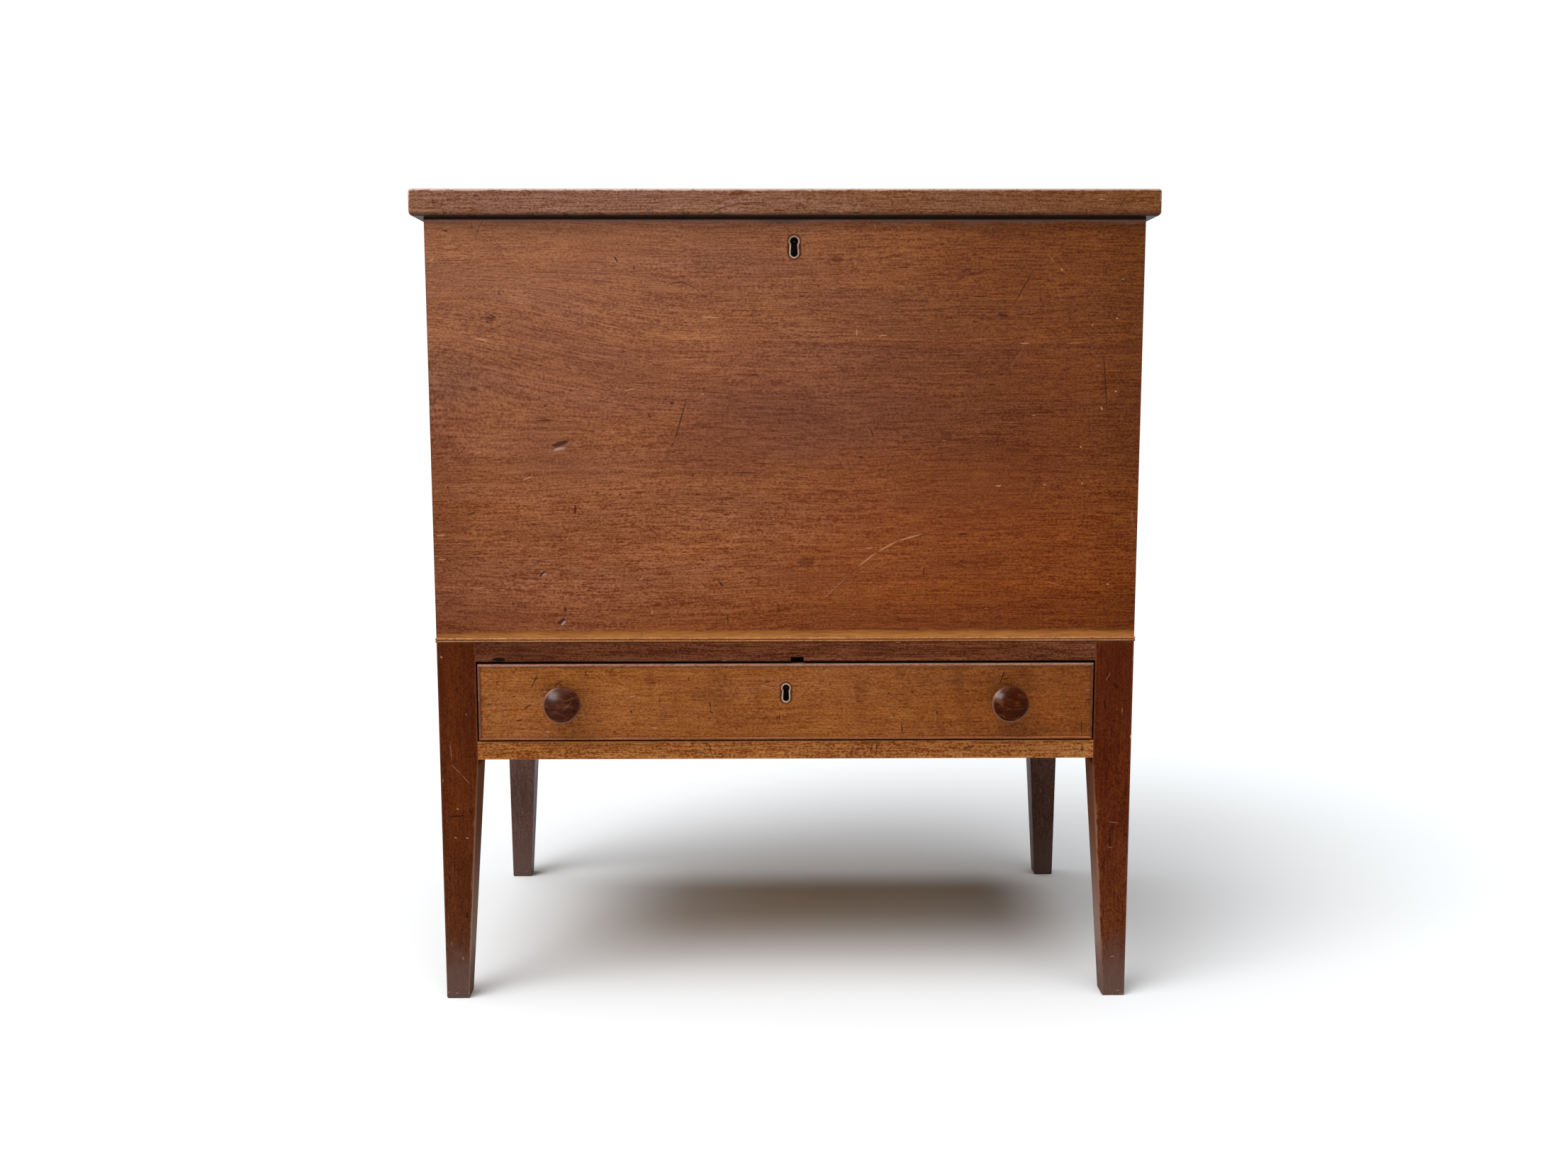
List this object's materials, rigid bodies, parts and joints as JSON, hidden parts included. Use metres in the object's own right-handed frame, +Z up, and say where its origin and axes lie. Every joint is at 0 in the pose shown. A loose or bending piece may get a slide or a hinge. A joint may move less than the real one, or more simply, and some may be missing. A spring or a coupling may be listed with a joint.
{
  "type": "sugar chest",
  "caption": "Free-standing wooden sugar chest: a dovetailed bin with a hinged, lockable lid, above a cockbeaded drawer with turned knobs, on tapered legs.",
  "frame": {"origin": "on the floor, under the middle of the whole chest's width and depth", "axes": "+Z up; -Y is the side that faces its user, with the drawer and the keyholes; +X to the user's right"},
  "size_m": [0.828, 0.522, 0.93],
  "materials": {
    "case_cherry": "old cherry, reddish, satin shellac with fine scratches and dents",
    "frame_cherry": "cherry stained darker, worn at the feet, satin",
    "bead_cherry": "cherry rubbed light on its crests",
    "knob_cherry": "dark turned cherry, polished by use",
    "poplar": "bare old secondary wood, dull",
    "brass": "old brass, dulled",
    "lock_iron": "dark iron, slightly rusted",
    "screw_steel": "dark steel, slotted heads"
  },
  "bodies": {
    "chest": {"back_apron": "frame_cherry", "bin_divider": "poplar", "case_back": "case_cherry", "case_bottom": "poplar", "case_escutcheon": "brass", "case_front": "case_cherry", "case_side_left": "case_cherry", "case_side_right": "case_cherry", "drawer_guide_left": "poplar", "drawer_guide_right": "poplar", "drawer_kicker_left": "poplar", "drawer_kicker_right": "poplar", "drawer_runner_left": "poplar", "drawer_runner_right": "poplar", "drawer_stops": "poplar", "hinge_case_screws": "screw_steel", "hinge_left_case_leaf": "brass", "hinge_pins": "brass", "hinge_right_case_leaf": "brass", "joining_blocks": "poplar", "leg_front_left": "frame_cherry", "leg_front_right": "frame_cherry", "leg_rear_left": "frame_cherry", "leg_rear_right": "frame_cherry", "lid_lock": "lock_iron", "lid_lock_screws": "screw_steel", "lower_rail": "frame_cherry", "side_apron_left": "frame_cherry", "side_apron_right": "frame_cherry", "upper_rail": "frame_cherry", "waist_bead_front": "bead_cherry", "waist_bead_left": "bead_cherry", "waist_bead_right": "bead_cherry"},
    "lid": {"hinge_left_lid_leaf": "brass", "hinge_lid_screws": "screw_steel", "hinge_right_lid_leaf": "brass", "lid_board": "case_cherry", "lid_cleat_left": "case_cherry", "lid_cleat_right": "case_cherry", "lid_cleat_screws": "screw_steel", "lid_hasp": "lock_iron", "lid_hasp_screws": "screw_steel"},
    "drawer": {"cockbead_bottom": "bead_cherry", "cockbead_left": "bead_cherry", "cockbead_right": "bead_cherry", "cockbead_top": "bead_cherry", "drawer_back": "poplar", "drawer_bottom": "poplar", "drawer_escutcheon": "brass", "drawer_front": "case_cherry", "drawer_lock": "lock_iron", "drawer_lock_screws": "screw_steel", "drawer_side_left": "poplar", "drawer_side_right": "poplar", "knob_left": "knob_cherry", "knob_right": "knob_cherry"},
    "lid_lock_bolt": {"lid_lock_bolt": "lock_iron"},
    "drawer_lock_bolt": {"drawer_lock_bolt": "lock_iron"}
  },
  "joints": [
    {"name": "lid_hinge", "type": "hinge", "parent": "chest", "child": "lid", "pos_m": [0, 0.2509, 0.901], "axis": [-1, 0, 0], "range_deg": [0, 110]},
    {"name": "drawer_slide", "type": "slide", "parent": "chest", "child": "drawer", "axis": [0, -1, 0], "range_m": [0, 0.34]},
    {"name": "lid_lock_bolt_slide", "type": "slide", "parent": "chest", "child": "lid_lock_bolt", "axis": [1, 0, 0], "range_m": [0, 0.009]},
    {"name": "drawer_lock_bolt_slide", "type": "slide", "parent": "drawer", "child": "drawer_lock_bolt", "axis": [0, 0, 1], "range_m": [0, 0.0065]}
  ]
}
